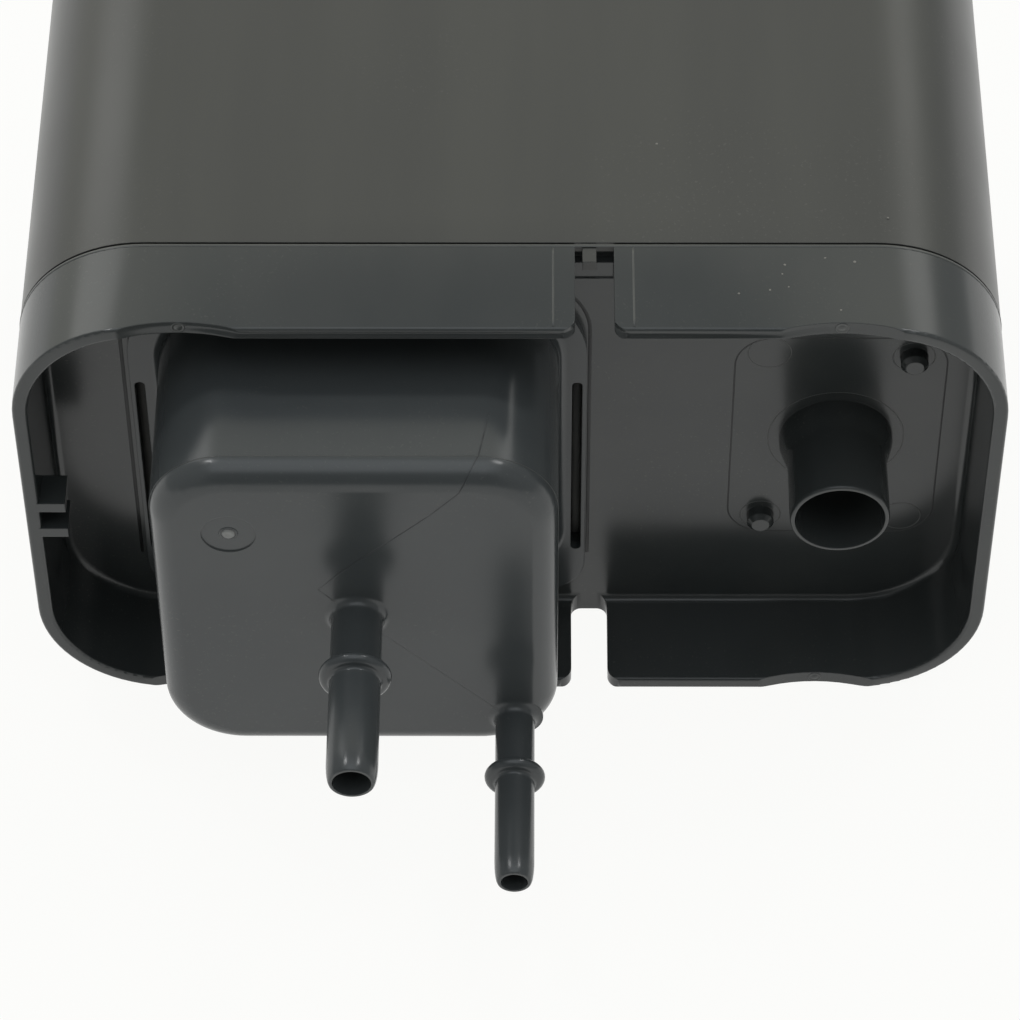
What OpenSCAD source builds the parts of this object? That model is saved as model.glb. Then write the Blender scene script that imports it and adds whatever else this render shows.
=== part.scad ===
// Charcoal canister for fuel vapour, lying on its large flat face.
// +X is to the right, +Y away from the port end, +Z up. The origin is under the middle of the bounding box.
// Every sub-part is drawn standing on its far end: x across, y up the finished part, z towards the ports,
// with z = 0 at the rim of the skirt. The module placed() then lays it down.

/* [Body] */
// Width of the canister
body_w = 246; // [232:1:300]
// Height of the canister as it lies
body_h = 142; // [138:1:180]
// Length of the canister, from the tips of its ports to its far end
total_len = 245.2; // [220:0.1:320]
// Outer radius of the four long corners
corner_r = 33; // [26:0.5:40]
// Wall of the body and the end cover
wall = 3.2; // [2.4:0.1:4]
// Thickness of the dividing wall between the two chambers
partition_t = 2.6; // [2:0.1:4]

/* [Port cover] */
// Depth of the skirt, from its rim to the weld seam
skirt_depth = 28.5; // [20:0.5:45]
// Wall of the skirt
skirt_wall = 3.8; // [3:0.1:5]
// Draft of the skirt: how much thicker its wall is at the floor than at the rim
skirt_draft = 1.2; // [0.2:0.1:2]
// Rounding of the rim's two edges
rim_edge_r = 0.9; // [0.4:0.1:1.4]
// Distance from the floor's front face to the seam
floor_rise = 1.5; // [1:0.1:2]
// Thickness of the floor
floor_t = 3.5; // [3:0.1:5]
// Fillet between the skirt and the floor
floor_fillet = 2.2; // [1:0.1:4]
// Width of the open groove at each weld seam
seam_gap = 0.6; // [0.3:0.1:1]
// Depth of the open groove at each weld seam
seam_depth = 1.3; // [0.6:0.1:2]
// Wall of the spigots that locate the covers in the body
spigot_t = 2.4; // [1.6:0.1:3]
// Depth of the ribs behind the floor, which hold the front felts off it
rib_depth = 5.5; // [4:0.5:12]
// Thickness of the ribs behind the floor
rib_t = 2.5; // [1.5:0.1:4]
// Distance between the ribs behind the dome, with a row of windows between each two
rib_pitch = 28; // [20:0.5:30]
// Height of the windows in the floor behind the dome
window_h = 42; // [30:1:44]
// Bar of floor left between the two rows of windows
window_gap = 6; // [4:0.5:10]

/* [Notches and scallops] */
// Centre of the two notches and of the dividing wall, across the canister
notch_x = 20.7; // [17:0.1:28]
// Width of the notches
notch_w = 9.6; // [7:0.1:12]
// Rounding where a notch meets the rim
notch_lip_r = 3.8; // [2:0.1:6]
// Rounding at the closed end of the lower notch
notch_end_r = 2.8; // [1.5:0.1:3.4]
// Rounding at the closed end of the upper notch
upper_end_r = 0.5; // [0.3:0.1:2]
// Reach of the upper notch's pocket into the floor, below the skirt's inner face
pocket_reach = 1.9; // [1.5:0.1:4]
// Thickness of the floor left behind that pocket
pocket_skin = 0.6; // [0.4:0.1:2]
// Reach of the shallow step below that pocket, from the skirt's inner face
step_reach = 7.2; // [5:0.1:12]
// Depth of the shallow step in the floor
step_depth = 0.4; // [0.2:0.1:1]
// Width of the body's locating tab in the upper notch
tab_w = 3.4; // [2:0.1:5]
// Length of the locating tab beyond the seam
tab_len = 6.2; // [3:0.1:12]
// Drop of the locating tab's top below the body's top
tab_drop = 0.3; // [0.1:0.1:1]
// Distance of the gate scallops from the middle of the canister
scallop_x = 80.5; // [70:0.5:84]
// Width of a gate scallop at the rim
scallop_w = 30; // [20:1:34]
// Depth of a gate scallop
scallop_depth = 2.4; // [1:0.1:4]

/* [Vent tube] */
// Centre of the vent tube, across the canister
vent_x = 83.5; // [76:0.5:90]
// Outside diameter of the vent tube
vent_od = 25.4; // [20:0.2:28]
// Bore of the vent tube
vent_bore = 23; // [16:0.2:23.6]
// Reach of the vent tube beyond the rim
vent_reach = 0.6; // [0:0.1:20]
// Length of the rounding at the vent tube's mouth
vent_lead = 1.2; // [0.6:0.1:3]
// Outside diameter of the collar at the vent tube's root
vent_collar_d = 29; // [28.4:0.2:34]
// Height of the collar
vent_collar_h = 2.4; // [1:0.1:5]
// Length of the flare from the collar down to the tube's diameter
vent_flare = 6.5; // [2:0.1:10]
// Diameter of the two pegs beside the vent tube
peg_d = 7; // [4:0.1:9]
// Height of the pegs
peg_h = 4; // [2:0.1:8]
// Chamfer of the pegs' ends
peg_chamfer = 1.2; // [0.4:0.1:1.6]
// Distance of the pegs from the vent tube's axis, across the canister
peg_dx = 18.2; // [16:0.1:20]
// Distance of the pegs from the vent tube's axis, up the canister
peg_dz = 31; // [26:0.5:36]
// Distance of the two ribs behind the floor from the vent tube's axis
vent_rib_dx = 20; // [16:0.5:24]

/* [Side ribs] */
// Reach of the two small ribs on the left inner wall
side_rib_reach = 6.6; // [3:0.1:10]
// Thickness of the small ribs
side_rib_t = 3.2; // [1.5:0.1:4]
// Distance between the two small ribs
side_rib_pitch = 9.8; // [6:0.1:20]
// Depth of the small ribs, from the rim
side_rib_depth = 9.5; // [4:0.5:20]
// Distance of the small ribs below the middle of the wall
side_rib_drop = 1.4; // [0:0.1:10]

/* [Vapour dome] */
// Centre of the dome, across the canister
dome_x = -38; // [-44:0.5:-38]
// Width of the dome
dome_w = 100; // [92:1:106]
// Height of the dome as the canister lies
dome_h = 108; // [96:1:110]
// Radius of the dome's four corners
dome_corner_r = 20; // [12:0.5:24]
// Rounding of the dome's front edge
dome_edge_r = 6.5; // [2:0.1:8]
// Reach of the dome's face beyond the rim
dome_reach = 32; // [20:0.5:60]
// Wall of the dome
dome_wall = 2.8; // [2:0.1:4]
// Fillet between the dome's wall and its flange
dome_foot_r = 2.4; // [1:0.1:3]
// Width of the welding flange round the dome
flange_rim = 7.8; // [6.5:0.1:8]
// How much narrower the flange is above and below the dome
flange_trim = 2; // [0:0.1:3]
// Distance of the flange's middle to the left of the dome's
flange_shift = 0.5; // [0:0.1:0.6]
// Radius of the flange's two lower corners
flange_low_r = 12; // [8:0.5:24]
// Thickness of the flange
flange_t = 2.5; // [1.5:0.1:4]
// Width of the slots in the flange, left and right of the dome
slot_w = 2.6; // [1.5:0.1:3]
// Length of the slots
slot_len = 66.4; // [30:0.1:70]
// Depth of the grooves in the cover's floor behind the slots
groove_depth = 2.6; // [1:0.1:2.8]
// Lip of the flange outside the slots
slot_lip = 1.1; // [0.8:0.1:1.6]
// Distance of the slots' lower end from the dome's lower side
slot_low = 11.5; // [10:0.5:20]
// Diameter of the dished gate mark on the dome's face
gate_d = 13.4; // [8:0.2:16]
// Depth of the gate mark
gate_depth = 0.35; // [0.2:0.05:0.8]
// Distance of the gate mark from the dome's left side
gate_in_x = 19.6; // [16:0.1:25]
// Distance of the gate mark from the dome's upper side
gate_in_z = 22; // [18:0.5:28]

/* [Hose ports] */
// Length of both hose ports beyond the dome's face
port_len = 51.5; // [40:0.5:80]
// Outside diameter of the tank port, in the middle of the dome
tank_od = 12.8; // [10:0.1:16]
// Outside diameter of the purge port, in the dome's lower right corner
purge_od = 10; // [8:0.1:12]
// Wall of both ports, which sets their bores
port_wall = 1.6; // [1.2:0.1:2.4]
// Distance of the purge port from the dome's right side
purge_in_x = 10.8; // [10:0.1:16]
// Distance of the purge port from the dome's lower side
purge_in_z = 12.5; // [12:0.1:18]
// Height of the hose bead on the ports
bead_rise = 2.7; // [1:0.1:4]
// Distance from the dome's face to the bead
bead_at = 17.2; // [10:0.1:24]
// Length of the bead's back, from its foot to its crest
bead_back = 1.7; // [0.6:0.1:3]
// Length of the bead's front, from its crest to its foot fillet
bead_ramp = 1.8; // [1:0.1:5]
// Radius of the fillet at a port's root
root_r = 2.2; // [1:0.1:3]
// Length of the rounding at a port's tip
port_lead = 6; // [3:0.5:10]
// Narrowing of a port's tip, on the radius
port_taper = 1; // [0.3:0.1:1.1]

/* [Filling] */
// Thickness of the four felts
felt_t = 4; // [2:0.5:8]
// Thickness of the pressure plates
plate_t = 3.5; // [2.5:0.1:6]
// Space behind the pressure plates for the springs
spring_space = 24; // [18:1:50]
// Mean diameter of the springs
spring_d = 30; // [22:0.5:36]
// Wire of the springs
spring_wire = 2; // [1.5:0.1:3]
// Distance of each spring from the middle of its plate
spring_pitch = 31; // [26:0.5:34]
// Height of the posts that centre the springs
post_h = 4; // [2:0.5:6]
// Clearance between a post and its spring
post_clear = 1; // [0.5:0.1:3]
// Number of flow slots across each pressure plate
plate_slots = 6; // [4:1:8]
// Width of the flow slots
plate_slot_w = 5; // [3:0.5:8]
// Depth of the end cover, from its seam to its back
end_depth = 12; // [9:0.5:20]
// Rounding of the end cover's back edge
end_edge_r = 5; // [2:0.1:8]
// Clearance of the spigots and the filling in the body
fit_clear = 0.3; // [0.1:0.05:0.6]

/* [Hidden] */
$fn = 64;
arc_steps = 6;
mid_y = body_h / 2;
floor_z = -(skirt_depth - floor_rise);
floor_back_z = floor_z - floor_t;
seam_z = -skirt_depth;
rib_end_z = floor_back_z - rib_depth;
bed_z = rib_end_z - felt_t;
tip_z = dome_reach + port_len;
end_z = tip_z - total_len;
end_seam_z = end_z + end_depth;
end_inner_z = end_z + wall;
plate_back_z = end_inner_z + spring_space;
plate_z = plate_back_z + plate_t;
bed_end_z = plate_z + felt_t;
partition_end_z = plate_back_z - post_h;
rim_y = (tip_z + end_z) / 2;
inner_x = body_w / 2 - wall - fit_clear;
spigot_r = corner_r - wall - fit_clear;
partition_edge = partition_t / 2 + fit_clear;
main_mid_x = (notch_x - partition_edge - inner_x) / 2;
vent_mid_x = (notch_x + partition_edge + inner_x) / 2;
main_spring_at = [for (s = [-1, 1]) [main_mid_x + s * spring_pitch, mid_y]];
vent_spring_at = [for (s = [-1, 1]) [vent_mid_x, mid_y + s * spring_pitch]];
spring_turns = 6;
spring_clear = 0.1;
rib_len = body_h - 2 * corner_r;
rib_at = concat([for (i = [-1.5 : 1.5]) dome_x + i * rib_pitch],
                [vent_x - vent_rib_dx, vent_x + vent_rib_dx]);
pocket_depth = floor_t - pocket_skin;
skirt_foot = skirt_wall + skirt_draft;
scallop_r = (scallop_w * scallop_w / 4 + scallop_depth * scallop_depth) / (2 * scallop_depth);
slot_at = dome_w / 2 + flange_rim - slot_lip - slot_w;
purge_at = [dome_w / 2 - purge_in_x, purge_in_z - dome_h / 2, 0];
gate_at = [gate_in_x - dome_w / 2, dome_h / 2 - gate_in_z, dome_reach - gate_depth];
end_spigot_len = 6;
cut = 1;

// Lays a sub-part down: drawn z runs towards the ports, drawn y becomes up
module placed() translate([0, rim_y, 0]) rotate([90, 0, 0]) children();

// Quarter disc with its square corner at the origin
module quarter(r) intersection() {
    circle(r);
    square(r);
}

// What a fillet of radius r fills in a square corner at the origin
module web(r) difference() {
    square(r);
    translate([r, r]) circle(r);
}

// Sweeps a section round a rounded rectangle: x = 0 is the corners' axis, x = r the outer face
module swept(w, h, r) {
    for (turn = [0 : 3]) {
        side_x = turn == 0 || turn == 3 ? 1 : -1;
        side_y = turn < 2 ? 1 : -1;
        translate([side_x * (w / 2 - r), side_y * (h / 2 - r), 0])
            rotate_extrude(angle = 90, start = 90 * turn) children();
    }
    for (s = [-1, 1]) {
        translate([s * (w / 2 - r), 0, 0]) rotate([90, 0, s > 0 ? 0 : 180])
            linear_extrude(h - 2 * r, center = true) children();
        translate([0, s * (h / 2 - r), 0]) rotate([90, 0, 90 * s])
            linear_extrude(w - 2 * r, center = true) children();
    }
}

// Rounded rectangular slab from z0 up to z1, centred on the origin
module slab(w, h, r, z0, z1) {
    swept(w, h, r) translate([0, z0]) square([r, z1 - z0]);
    translate([r - w / 2, r - h / 2, z0]) cube([w - 2 * r, h - 2 * r, z1 - z0]);
}

// As slab, with its upper outer edge rounded
module rounded_slab(w, h, r, z0, z1, edge_r) {
    swept(w, h, r) {
        translate([0, z0]) square([r - edge_r, z1 - z0]);
        translate([r - edge_r, z0]) square([edge_r, z1 - edge_r - z0]);
        translate([r - edge_r, z1 - edge_r]) quarter(edge_r);
    }
    translate([r - w / 2, r - h / 2, z0]) cube([w - 2 * r, h - 2 * r, z1 - z0]);
}

// Slab that fills the body's inside, less a clearance
module fill(z0, z1, clear) slab(body_w - 2 * (wall + clear), body_h - 2 * (wall + clear),
                                corner_r - wall - clear, z0, z1);

// Filling of one chamber: side -1 is the main chamber, +1 the vent chamber
module chamber_fill(side, z0, z1) translate([0, mid_y, 0]) intersection() {
    fill(z0, z1, fit_clear);
    translate([side > 0 ? notch_x + partition_edge : notch_x - partition_edge - body_w, -body_h, z0 - cut])
        cube([body_w, 2 * body_h, z1 - z0 + 2 * cut]);
}

// Moulded body: a tube with the dividing wall and the tab that locates the port cover
module body_shell() color([0.13, 0.13, 0.12]) placed() {
    top_z = seam_z - seam_gap / 2;
    translate([0, mid_y, 0]) swept(body_w, body_h, corner_r)
        translate([corner_r - wall, end_seam_z]) square([wall, top_z - end_seam_z]);
    translate([notch_x - partition_t / 2, wall - cut, partition_end_z])
        cube([partition_t, body_h - 2 * wall + 2 * cut, rib_end_z - partition_end_z]);
    translate([notch_x - notch_w / 8 - tab_w / 2, body_h - wall, top_z - cut])
        cube([tab_w, wall - tab_drop, tab_len + cut]);
}

// Section of the port cover's drafted wall, floor edge, weld land and spigot
module cover_section() {
    wall_x = corner_r - skirt_wall;
    foot_x = corner_r - skirt_foot;
    wall_end = seam_z + seam_gap / 2;
    lean = skirt_draft / (-rim_edge_r - floor_z);
    polygon([
        [wall_x, -rim_edge_r], [foot_x, floor_z], [foot_x, wall_end],
        [corner_r, wall_end], [corner_r, -rim_edge_r]
    ]);
    translate([wall_x + rim_edge_r, -rim_edge_r]) square([skirt_wall - 2 * rim_edge_r, rim_edge_r]);
    translate([corner_r - rim_edge_r, -rim_edge_r]) quarter(rim_edge_r);
    translate([wall_x + rim_edge_r, -rim_edge_r]) mirror([1, 0]) quarter(rim_edge_r);
    translate([wall_x, seam_z - seam_gap / 2]) square([skirt_wall - seam_depth, seam_gap]);
    translate([0, floor_back_z]) square([spigot_r, floor_t]);
    translate([spigot_r - spigot_t, rib_end_z]) square([spigot_t, rib_depth]);
    translate([foot_x + lean * floor_fillet, floor_z]) mirror([1, 0]) web(floor_fillet);
}

// Outline of a notch, from end_z out past the rim, with rounded ends and lips
module notch_outline(end_z, end_r) {
    half = notch_w / 2;
    translate([-half, end_z + end_r]) square([notch_w, cut - end_z - end_r]);
    translate([end_r - half, end_z]) square([notch_w - 2 * end_r, end_r]);
    for (s = [0, 1]) mirror([s, 0]) {
        translate([half - end_r, end_z + end_r]) mirror([0, 1]) quarter(end_r);
        translate([half, 0]) mirror([0, 1]) web(notch_lip_r);
    }
}

// Outline of a gate scallop: a shallow dip cut by a wide circle
module scallop_outline() translate([0, scallop_r - scallop_depth]) circle(scallop_r);

// Cuts an outline into the skirt's upper (side 1) or lower (side -1) wall, to a depth from outside
module skirt_cut(x, side, depth) translate([x, side > 0 ? body_h + cut : depth, 0]) rotate([90, 0, 0])
    linear_extrude(depth + cut) children();

// Short wide tube with a flared collar at its root and a rounded mouth
module vent_tube() {
    od_r = vent_od / 2;
    mouth_r = (od_r + vent_bore / 2) / 2;
    collar_r = vent_collar_d / 2;
    collar_z = floor_z + vent_collar_h;
    translate([vent_x, mid_y, 0]) rotate_extrude() polygon(concat(
        [[0, floor_back_z], [collar_r, floor_back_z], [collar_r, collar_z], [od_r, collar_z + vent_flare]],
        arc(mouth_r, vent_reach - vent_lead, od_r - mouth_r, vent_lead, 0, 90),
        [[0, vent_reach]]
    ));
}

// Peg with a chamfered end
module peg() rotate_extrude() polygon([
    [0, floor_back_z], [peg_d / 2, floor_back_z], [peg_d / 2, floor_z + peg_h - peg_chamfer],
    [peg_d / 2 - peg_chamfer, floor_z + peg_h], [0, floor_z + peg_h]
]);

// Outline of a slot with round ends, its corner at the origin
module slot_outline() {
    translate([0, slot_w / 2]) square([slot_w, slot_len - slot_w]);
    for (y = [slot_w / 2, slot_len - slot_w / 2]) translate([slot_w / 2, y]) circle(d = slot_w);
}

// The two slots beside the dome, cut from z0 up to z1 and placed from the dome's middle
module side_slots(z0, z1) translate([-flange_shift, slot_low - dome_h / 2, z0])
    for (x = [-slot_at - slot_w, slot_at]) translate([x, 0, 0]) linear_extrude(z1 - z0) slot_outline();

// Moulded cover: skirt, recessed floor, vent tube, pegs, ribs, notches and scallops in one piece
module port_cover() color([0.17, 0.17, 0.16]) placed() difference() {
    union() {
        translate([0, mid_y, 0]) {
            swept(body_w, body_h, corner_r) cover_section();
            translate([corner_r - body_w / 2, corner_r - body_h / 2, floor_back_z])
                cube([body_w - 2 * corner_r, body_h - 2 * corner_r, floor_t]);
        }
        vent_tube();
        for (s = [-1, 1]) translate([vent_x + s * peg_dx, mid_y + s * peg_dz, 0]) peg();
        for (s = [-1, 1])
            translate([skirt_wall - body_w / 2 - cut,
                       mid_y - side_rib_drop + s * side_rib_pitch / 2 - side_rib_t / 2, -side_rib_depth])
                cube([side_rib_reach + cut, side_rib_t, side_rib_depth]);
        for (x = rib_at)
            translate([x - rib_t / 2, mid_y - rib_len / 2, rib_end_z]) cube([rib_t, rib_len, rib_depth]);
        translate([notch_x - partition_t / 2, wall + fit_clear, rib_end_z])
            cube([partition_t, body_h - 2 * (wall + fit_clear), rib_depth]);
    }
    skirt_cut(notch_x, -1, skirt_foot + floor_fillet) notch_outline(floor_z, notch_end_r);
    skirt_cut(notch_x, 1, skirt_foot + floor_fillet) notch_outline(floor_z, upper_end_r);
    skirt_cut(notch_x, 1, skirt_wall + pocket_reach) notch_outline(floor_z - pocket_depth, upper_end_r);
    translate([notch_x - notch_w / 2, body_h - skirt_wall - step_reach, floor_z - step_depth])
        cube([notch_w, step_reach, step_depth + cut]);
    for (x = [-scallop_x, scallop_x], side = [-1, 1]) skirt_cut(x, side, skirt_foot) scallop_outline();
    translate([vent_x, mid_y, floor_back_z - cut])
        cylinder(d = vent_bore, h = vent_reach - floor_back_z + 2 * cut);
    for (i = [0 : 2], s = [-1, 1])
        translate([rib_at[i] + rib_t / 2, mid_y + s * (window_h + window_gap) / 2 - window_h / 2,
                   floor_back_z - cut])
            cube([rib_pitch - rib_t, window_h, floor_t + 2 * cut]);
    translate([dome_x, mid_y, 0]) side_slots(floor_z - groove_depth, floor_z + cut);
}

// Points along an arc of an ellipse, in degrees
function arc(cx, cy, rx, ry, a0, a1) = [for (i = [0 : arc_steps])
    let (a = a0 + (a1 - a0) * i / arc_steps) [cx + rx * cos(a), cy + ry * sin(a)]];

// Hose port standing on the dome's face: root fillet, bead with a foot fillet, long tube and rounded tip
module hose_port(od) {
    r = od / 2;
    root_depth = dome_edge_r;
    crest = bead_at + bead_back;
    foot_r = bead_rise / 3;
    rotate_extrude() polygon(concat(
        [[0, -root_depth], [r + root_r, -root_depth]],
        arc(r + root_r, root_r, root_r, root_r, 270, 180),
        arc(r, crest, bead_rise, bead_back, 270, 360),
        arc(r + foot_r, crest, bead_rise - foot_r, bead_ramp, 0, 90),
        arc(r + foot_r, crest + bead_ramp + foot_r, foot_r, foot_r, 270, 180),
        arc(r - port_taper, port_len - port_lead, port_taper, port_lead, 0, 90),
        [[0, port_len]]
    ));
}

// Welding flange round the dome's foot, with tighter corners below than above
module flange() translate([-flange_shift, 0, 0]) {
    w = dome_w + 2 * flange_rim;
    h = dome_h + 2 * (flange_rim - flange_trim);
    slab(w, h, dome_corner_r + flange_rim - flange_trim, floor_z, floor_z + flange_t);
    translate([0, -h / 4, 0]) slab(w, h / 2, flange_low_r, floor_z, floor_z + flange_t);
}

// Moulded dome: hollow box with rounded edges, slotted flange, two hose ports and a gate mark
module vapour_dome() color([0.2, 0.2, 0.19]) placed() translate([dome_x, mid_y, 0]) difference() {
    union() {
        rounded_slab(dome_w, dome_h, dome_corner_r, floor_z, dome_reach, dome_edge_r);
        flange();
        swept(dome_w, dome_h, dome_corner_r) translate([dome_corner_r, floor_z + flange_t]) web(dome_foot_r);
        translate([0, 0, dome_reach]) {
            hose_port(tank_od);
            translate(purge_at) hose_port(purge_od);
        }
    }
    slab(dome_w - 2 * dome_wall, dome_h - 2 * dome_wall, dome_corner_r - dome_wall,
         floor_z - cut, dome_reach - max(dome_wall, dome_edge_r));
    side_slots(floor_z - cut, floor_z + flange_t + cut);
    translate([0, 0, floor_z]) {
        cylinder(d = tank_od - 2 * port_wall, h = tip_z - floor_z + cut);
        translate(purge_at) cylinder(d = purge_od - 2 * port_wall, h = tip_z - floor_z + cut);
    }
    translate(gate_at) difference() {
        cylinder(d = gate_d, h = cut);
        translate([0, 0, -cut]) cylinder(d = gate_d / 6, h = cut + gate_depth);
    }
}

// Post that centres a spring, standing up from z0
module spring_post(z0) translate([0, 0, z0])
    cylinder(d = spring_d - spring_wire - 2 * post_clear, h = post_h);

// Far cover: a shallow pan with a rounded back edge, a spigot and the spring posts
module end_cover() color([0.13, 0.13, 0.12]) placed() {
    outer_z = end_seam_z - seam_gap;
    inner_r = corner_r - wall;
    translate([0, mid_y, 0]) {
        difference() {
            mirror([0, 0, 1]) rounded_slab(body_w, body_h, corner_r, -outer_z, -end_z, end_edge_r);
            slab(body_w - 2 * wall, body_h - 2 * wall, inner_r, end_inner_z, outer_z + cut);
        }
        swept(body_w, body_h, corner_r) {
            translate([inner_r, outer_z]) square([wall - seam_depth, seam_gap]);
            translate([spigot_r - spigot_t, outer_z - end_spigot_len / 2]) square([spigot_t, end_spigot_len]);
            translate([spigot_r - spigot_t, outer_z - end_spigot_len / 2])
                square([spigot_t + fit_clear + wall / 2, end_spigot_len / 2]);
        }
    }
    for (at = concat(main_spring_at, vent_spring_at)) translate([at.x, at.y, 0]) spring_post(end_inner_z);
}

// Pressure plate: fills a chamber, with flow slots and posts for its springs
module pressure_plate(side, at) {
    mid = side < 0 ? main_mid_x : vent_mid_x;
    slot_pitch = 2 * (inner_x - abs(mid)) / (plate_slots + 1);
    slot_h = body_h / 4;
    difference() {
        chamber_fill(side, plate_back_z, plate_z);
        for (i = [1 : plate_slots], s = [-1, 1])
            translate([mid + (i - (plate_slots + 1) / 2) * slot_pitch - plate_slot_w / 2,
                       mid_y + s * slot_h - slot_h / 2, plate_back_z - cut])
                cube([plate_slot_w, slot_h, plate_t + 2 * cut]);
    }
    for (p = at) translate([p.x, p.y, 0]) {
        translate([0, 0, plate_back_z]) cylinder(d = spring_d + 2 * spring_wire, h = plate_t);
        spring_post(plate_back_z - post_h);
    }
}

// Coil spring with closed end turns: a ring of points round the wire at each step along it
module coil_spring() {
    sides = 6;
    turn_steps = 14;
    steps = turn_steps * spring_turns;
    wire_r = spring_wire / 2;
    travel = spring_space - 2 * spring_clear - spring_wire;
    dead = 1.08 * spring_wire;
    function rise(t) = t < 1 ? dead * t
        : t > spring_turns - 1 ? travel - dead * (spring_turns - t)
        : dead + (travel - 2 * dead) * (t - 1) / (spring_turns - 2);
    points = [for (i = [0 : steps], j = [0 : sides - 1])
        let (t = spring_turns * i / steps, a = 360 * t, b = 360 * (j + 0.5) / sides,
             r = spring_d / 2 + wire_r * sin(b))
        [r * cos(a), r * sin(a), rise(t) + wire_r + wire_r * cos(b) + spring_clear]];
    faces = concat(
        [[for (j = [0 : sides - 1]) j]],
        [for (i = [0 : steps - 1], j = [0 : sides - 1])
            let (k = (j + 1) % sides)
            [i * sides + j, (i + 1) * sides + j, (i + 1) * sides + k, i * sides + k]],
        [[for (j = [sides - 1 : -1 : 0]) steps * sides + j]]
    );
    translate([0, 0, end_inner_z]) polyhedron(points, faces, convexity = 4);
}

module felt(side, z0) color([0.85, 0.84, 0.8]) placed() chamber_fill(side, z0, z0 + felt_t);
module bed(side) color([0.07, 0.07, 0.07]) placed() chamber_fill(side, bed_end_z, bed_z);
module plate(side, at) color([0.3, 0.3, 0.29]) placed() pressure_plate(side, at);
module spring(at) color([0.6, 0.6, 0.62]) placed() translate([at.x, at.y, 0]) coil_spring();

body_shell();
port_cover();
vapour_dome();
end_cover();
felt(-1, bed_z);  // main_front_felt
bed(-1);  // main_charcoal_bed
felt(-1, plate_z);  // main_rear_felt
plate(-1, main_spring_at);  // main_pressure_plate
spring(main_spring_at[0]);  // main_spring_left
spring(main_spring_at[1]);  // main_spring_right
felt(1, bed_z);  // vent_front_felt
bed(1);  // vent_charcoal_bed
felt(1, plate_z);  // vent_rear_felt
plate(1, vent_spring_at);  // vent_pressure_plate
spring(vent_spring_at[0]);  // vent_spring_lower
spring(vent_spring_at[1]);  // vent_spring_upper
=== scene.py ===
# %% [markdown]
# # A charcoal canister for fuel vapour
# A car's fuel tank breathes through a plastic box of charcoal. This one lies on its large flat face,
# with the port end towards us: a skirt round a recessed floor, a short wide vent tube, and a raised
# dome that carries two long beaded hose ports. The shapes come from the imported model, so this lesson
# is about what a moulding shows on top of its shape: finish, weld lips, gate marks and fine lines.

import bpy
import mathutils
import numpy as np
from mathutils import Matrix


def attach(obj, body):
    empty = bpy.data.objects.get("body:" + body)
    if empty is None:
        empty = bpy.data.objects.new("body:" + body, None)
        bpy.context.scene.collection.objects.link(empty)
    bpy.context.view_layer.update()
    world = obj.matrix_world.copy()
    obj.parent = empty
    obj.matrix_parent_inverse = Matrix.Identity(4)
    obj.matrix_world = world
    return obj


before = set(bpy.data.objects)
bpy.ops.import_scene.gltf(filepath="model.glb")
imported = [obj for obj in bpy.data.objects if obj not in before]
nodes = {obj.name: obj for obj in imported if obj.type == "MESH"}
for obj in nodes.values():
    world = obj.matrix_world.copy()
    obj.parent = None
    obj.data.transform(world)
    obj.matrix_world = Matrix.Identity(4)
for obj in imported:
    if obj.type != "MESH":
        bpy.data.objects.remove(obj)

MM = 0.001
scene = bpy.context.scene
scene.view_settings.view_transform = "Standard"
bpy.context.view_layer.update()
BODY_W, BODY_LEN, BODY_H = np.ptp(np.array(nodes["body_shell"].bound_box), axis=0)
TOP = BODY_H / MM
print("body in mm: %.1f wide, %.1f long, %.1f high" % (BODY_W / MM, BODY_LEN / MM, TOP))

# %% [markdown]
# ## Camera
# The rim, the weld seam and the vent tube fix where the camera stood: in front of the port end and
# above it, looking down at 50 degrees through a long lens. A camera could be aimed with a Track To
# constraint. Here its axes are worked out from the measured pitch, yaw and roll, because a
# constraint gives no roll and hides the numbers.

# %% Camera at the measured place
PITCH, YAW, ROLL = np.radians([50.2794, -0.5427, -0.3477])
CAMERA_AT = np.array([6.72, -757.78, 939.04]) * MM
FOCAL_PX, FRAME_PX, SENSOR_MM = 4446.27, 1020, 36.0

ahead = np.array([np.sin(YAW) * np.cos(PITCH), np.cos(YAW) * np.cos(PITCH), -np.sin(PITCH)])
right = np.array([np.cos(YAW), -np.sin(YAW), 0.0])
above = np.cross(right, ahead)
rolled_right = right * np.cos(ROLL) + above * np.sin(ROLL)
rolled_above = above * np.cos(ROLL) - right * np.sin(ROLL)
stand = np.eye(4)
stand[:3] = np.column_stack([rolled_right, rolled_above, -ahead, CAMERA_AT])

lens = bpy.data.cameras.new("camera")
lens.sensor_width = SENSOR_MM
lens.lens = SENSOR_MM * FOCAL_PX / FRAME_PX
lens.clip_start = 0.05
camera = bpy.data.objects.new("camera", lens)
scene.collection.objects.link(camera)
camera.matrix_world = mathutils.Matrix(stand.tolist())
scene.camera = camera
print("lens %.1f mm, camera %.2f m above the floor" % (lens.lens, CAMERA_AT[2]))

# %% [markdown]
# ## Nodes without clutter
# A finish is a small graph of shader nodes. Placing and linking them one call at a time hides the
# idea, so one helper makes a node, sets its fields and joins its inputs: a value is set on the
# socket, and a socket from another node is linked to it. Three more do sums on the way.

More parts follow.
